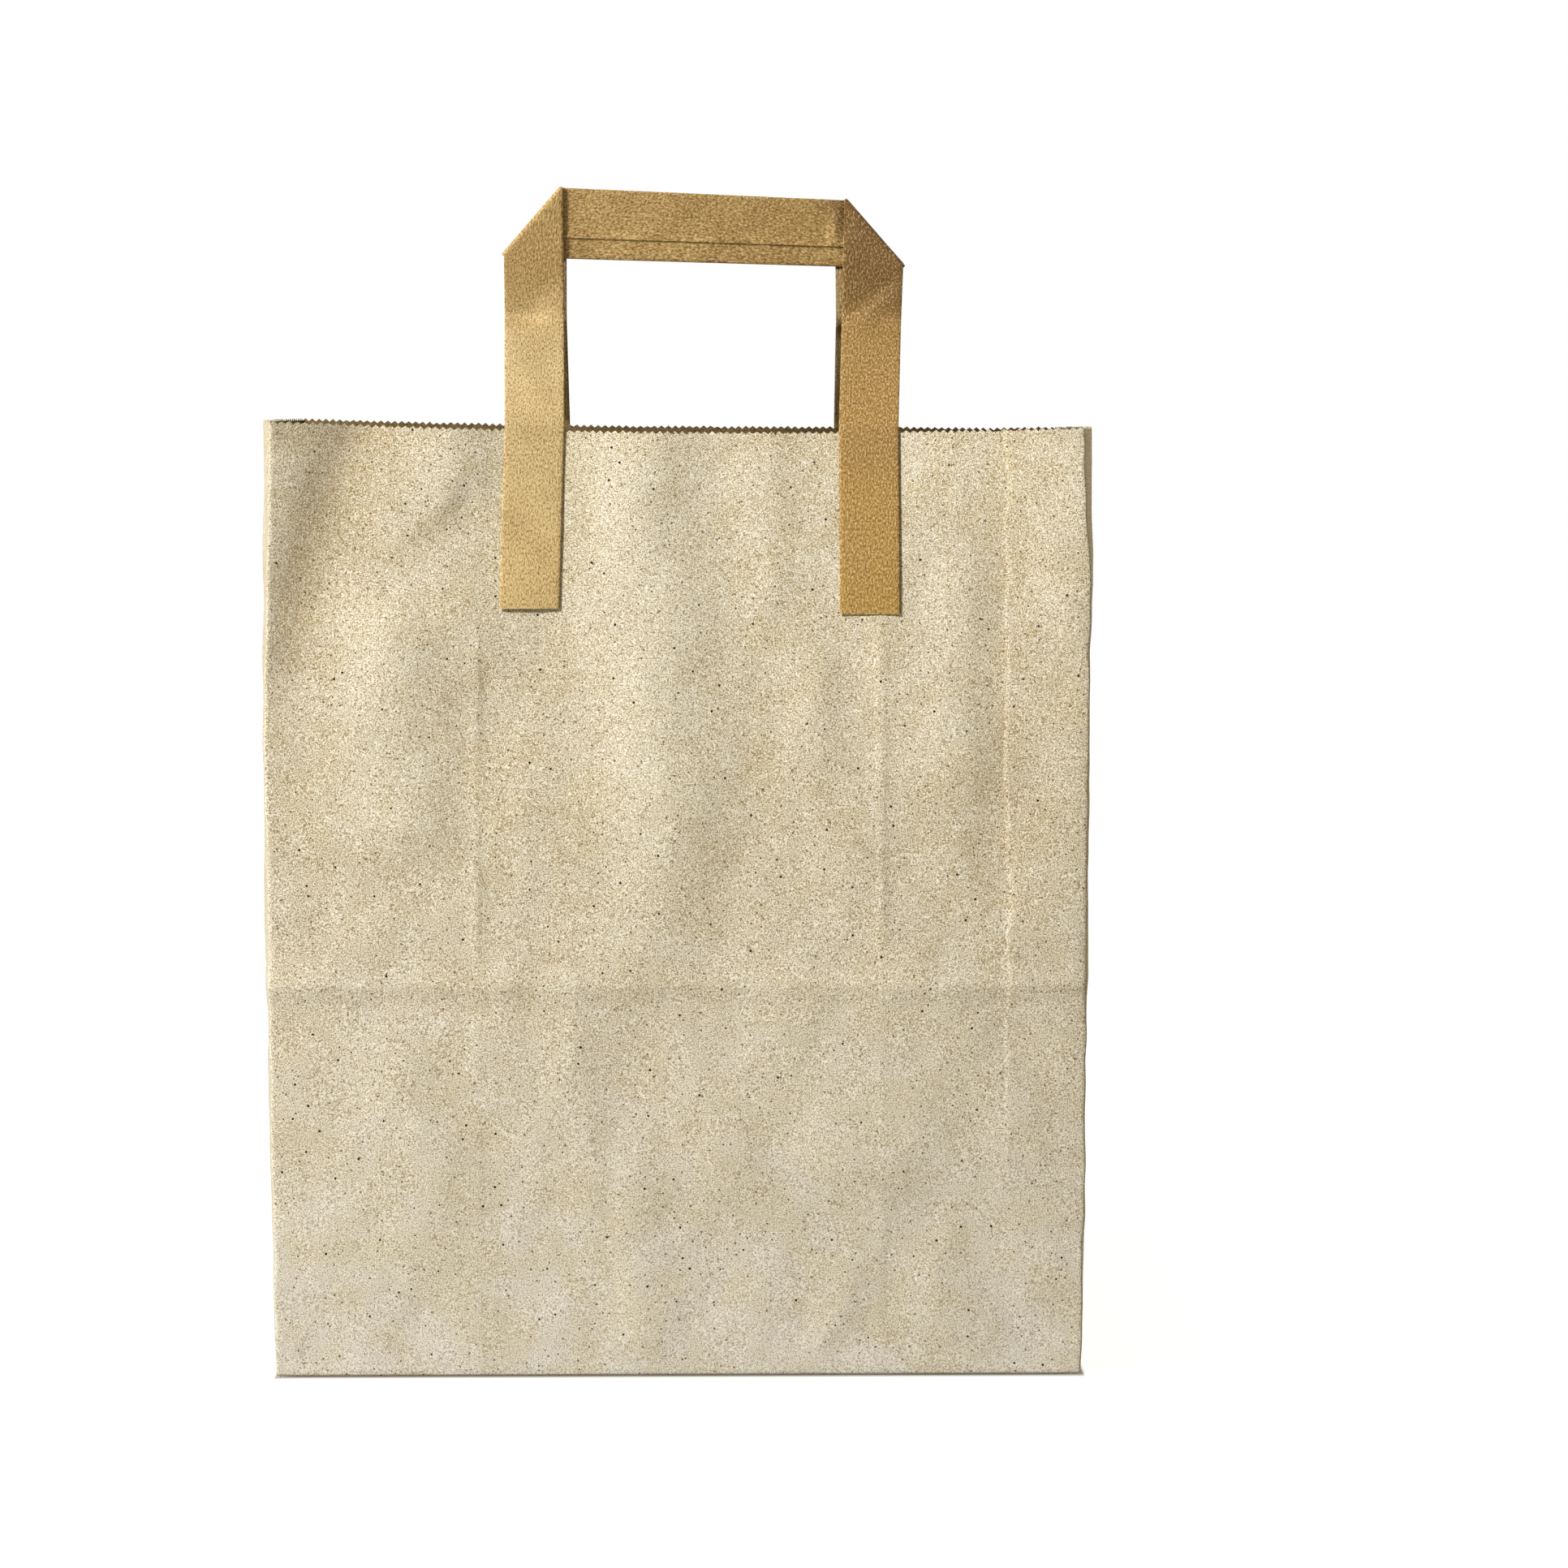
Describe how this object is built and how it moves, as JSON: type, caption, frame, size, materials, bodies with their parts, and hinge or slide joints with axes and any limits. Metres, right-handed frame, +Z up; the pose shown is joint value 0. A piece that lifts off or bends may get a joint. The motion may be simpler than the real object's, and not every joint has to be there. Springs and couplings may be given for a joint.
{
  "type": "paper carrier bag",
  "caption": "Brown kraft paper lunch carrier: block-bottom bag with bellied gussets, pinked rim, cross crease and folded flat tape handles glued outside.",
  "frame": {"origin": "middle of the base rectangle, on the floor", "axes": "+Z up to the handles, +X along the bag's width to the viewer's right, front panel facing -Y"},
  "size_m": [0.2245, 0.1096, 0.3186],
  "materials": {
    "bag_kraft": "matt recycled kraft",
    "handle_kraft": "machine-glazed kraft tape"
  },
  "bodies": {
    "root": {"bag_body": "bag_kraft", "front_handle": "handle_kraft", "rear_handle": "handle_kraft"}
  },
  "joints": []
}
